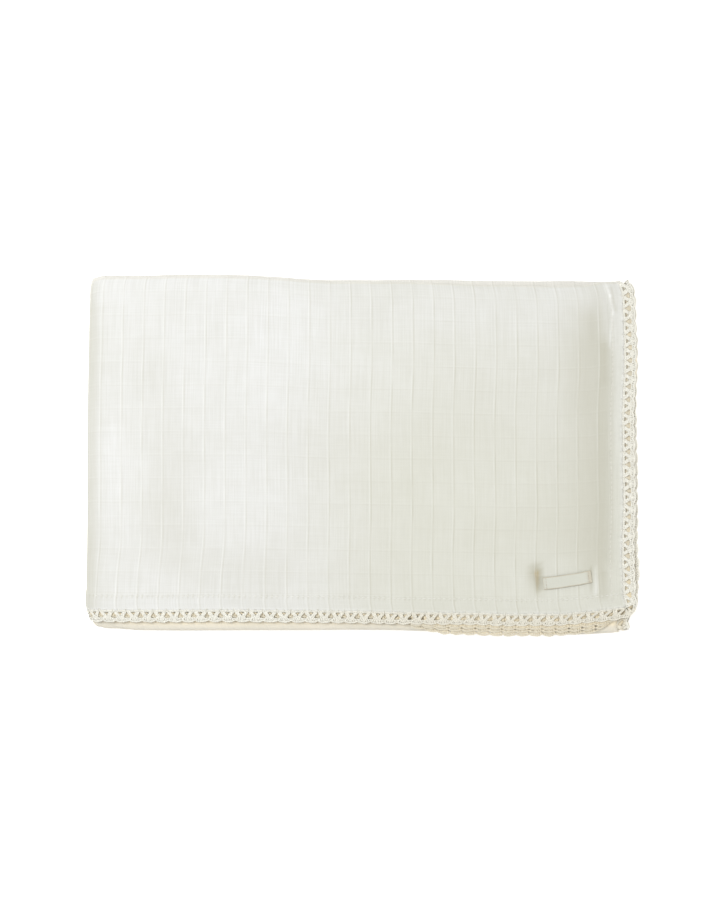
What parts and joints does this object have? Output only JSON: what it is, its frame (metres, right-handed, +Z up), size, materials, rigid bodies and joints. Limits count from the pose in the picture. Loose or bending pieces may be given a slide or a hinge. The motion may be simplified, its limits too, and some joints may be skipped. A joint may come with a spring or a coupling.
{
  "type": "swaddle blanket",
  "caption": "Square muslin swaddle blanket with stitched hems, a crocheted edging and a small side label, folded flat into a soft rectangle.",
  "frame": {"origin": "on the surface the folded blanket lies on, under the middle of its outline", "axes": "+X across the bundle from the side folds to the open side hems, +Y from the open front hem to the back folds, +Z up"},
  "size_m": [0.307, 0.2003, 0.0167],
  "materials": {
    "muslin": "fine open cotton muslin with a soft window-pane of corded threads",
    "crochet_yarn": "matte crocheted cotton yarn",
    "label_tape": "bare woven satin tape"
  },
  "bodies": {
    "root": {"swaddle_cloth": "muslin", "crochet_edging": "crochet_yarn", "side_label": "label_tape"}
  },
  "joints": []
}
